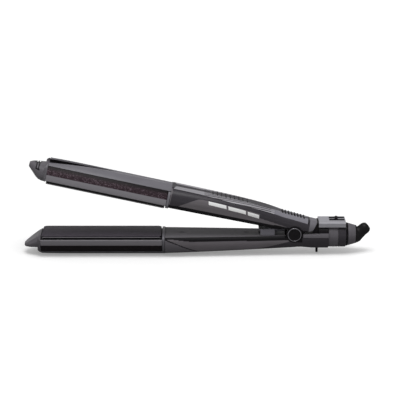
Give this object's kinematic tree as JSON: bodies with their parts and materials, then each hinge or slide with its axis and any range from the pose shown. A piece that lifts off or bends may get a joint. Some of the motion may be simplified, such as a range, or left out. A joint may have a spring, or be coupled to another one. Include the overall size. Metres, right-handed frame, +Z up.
{
  "type": "hair straightening and curling iron",
  "caption": "Two hinged arms with floating flat plates inside and curved coated strips outside, a plate lock, a slide switch and a swivelling angled cord outlet.",
  "frame": {"origin": "under the middle of the tool, on the surface it lies on", "axes": "+X from the tips to the cord outlet, +Z up, the arms open in the XZ plane"},
  "size_m": [0.3166, 0.0372, 0.0881],
  "materials": {
    "shell_plastic": "smooth moulded, charcoal",
    "cover_plastic": "smooth moulded, grey",
    "heat_resistant_plastic": "matt, black",
    "gloss_black_plastic": "glossy, black",
    "coated_metal": "dark coating with fine metal flake",
    "ribbed_trim": "satin, light grey",
    "spring_steel": "bright steel",
    "ceramic": "matt ceramic",
    "wire_sleeve": "woven glass sleeve",
    "white_print": "white, satin",
    "board": "board with parts",
    "outlet_rubber": "satin, black"
  },
  "bodies": {
    "base": {"lower_outer_shell": "shell_plastic", "lower_inner_cover": "cover_plastic", "lower_head_frame": "heat_resistant_plastic", "lower_near_strip": "coated_metal", "lower_far_strip": "coated_metal", "lower_spine": "cover_plastic", "lower_tip_cap": "cover_plastic", "lower_collar": "shell_plastic", "lower_plate_springs": "spring_steel", "lower_shell_screws": "spring_steel", "lower_wires": "wire_sleeve", "tail_top_cover": "shell_plastic", "tail_band": "cover_plastic", "tail_end_ring": "shell_plastic", "switch_pod": "cover_plastic", "switch_fascia": "gloss_black_plastic", "slide_switch": "heat_resistant_plastic", "rest_peg": "shell_plastic", "hinge_pin": "spring_steel", "near_hinge_cap": "gloss_black_plastic", "far_hinge_cap": "gloss_black_plastic", "near_cap_ring": "ribbed_trim", "far_cap_ring": "ribbed_trim", "opening_spring": "spring_steel"},
    "lower_plate": {"lower_plate": "coated_metal", "lower_heater": "ceramic", "lower_thermal_fuse": "ceramic"},
    "upper_arm": {"upper_outer_shell": "shell_plastic", "upper_inner_cover": "cover_plastic", "upper_head_frame": "heat_resistant_plastic", "upper_near_strip": "coated_metal", "upper_far_strip": "coated_metal", "upper_spine": "cover_plastic", "upper_tip_cap": "cover_plastic", "upper_collar": "shell_plastic", "upper_plate_springs": "spring_steel", "upper_shell_screws": "spring_steel", "upper_wires": "wire_sleeve", "hinge_knuckle": "heat_resistant_plastic", "rear_end_cap": "cover_plastic", "near_trim_strip": "ribbed_trim", "far_trim_strip": "ribbed_trim", "near_side_panel": "heat_resistant_plastic", "far_side_panel": "heat_resistant_plastic", "near_rear_panel": "cover_plastic", "far_rear_panel": "cover_plastic", "label_bars": "white_print", "control_board": "board"},
    "upper_plate": {"upper_plate": "coated_metal", "upper_heater": "ceramic", "upper_thermal_fuse": "ceramic"},
    "lock": {"lock_slider": "cover_plastic"},
    "switch": {"switch_nub": "ribbed_trim"},
    "swivel": {"swivel_cone": "gloss_black_plastic", "swivel_band": "cover_plastic", "swivel_retainer": "spring_steel", "cord_outlet": "outlet_rubber"}
  },
  "joints": [
    {"name": "arm_hinge", "type": "hinge", "parent": "base", "child": "upper_arm", "pos_m": [0.08848, 0, 0.0204], "axis": [0, -1, 0], "range_deg": [0, 12.3], "stiffness_Nm_per_rad": 0.6, "springref_deg": -28.65},
    {"name": "lower_plate_float", "type": "slide", "parent": "base", "child": "lower_plate", "axis": [0, 0, -1], "range_m": [0, 0.001], "stiffness_N_per_m": 2000, "springref_m": -0.001, "deforming": ["lower_plate_springs"]},
    {"name": "upper_plate_float", "type": "slide", "parent": "upper_arm", "child": "upper_plate", "axis": [0.213, 0, 0.977], "range_m": [0, 0.001], "stiffness_N_per_m": 2000, "springref_m": -0.001, "deforming": ["upper_plate_springs"]},
    {"name": "plate_lock", "type": "slide", "parent": "base", "child": "lock", "axis": [-1, 0, 0], "range_m": [0, 0.003]},
    {"name": "switch_slide", "type": "slide", "parent": "base", "child": "switch", "axis": [-1, 0, 0], "range_m": [0, 0.005]},
    {"name": "cord_swivel", "type": "hinge", "parent": "base", "child": "swivel", "pos_m": [0.13848, 0, 0.0173], "axis": [1, 0, 0], "continuous": true}
  ]
}
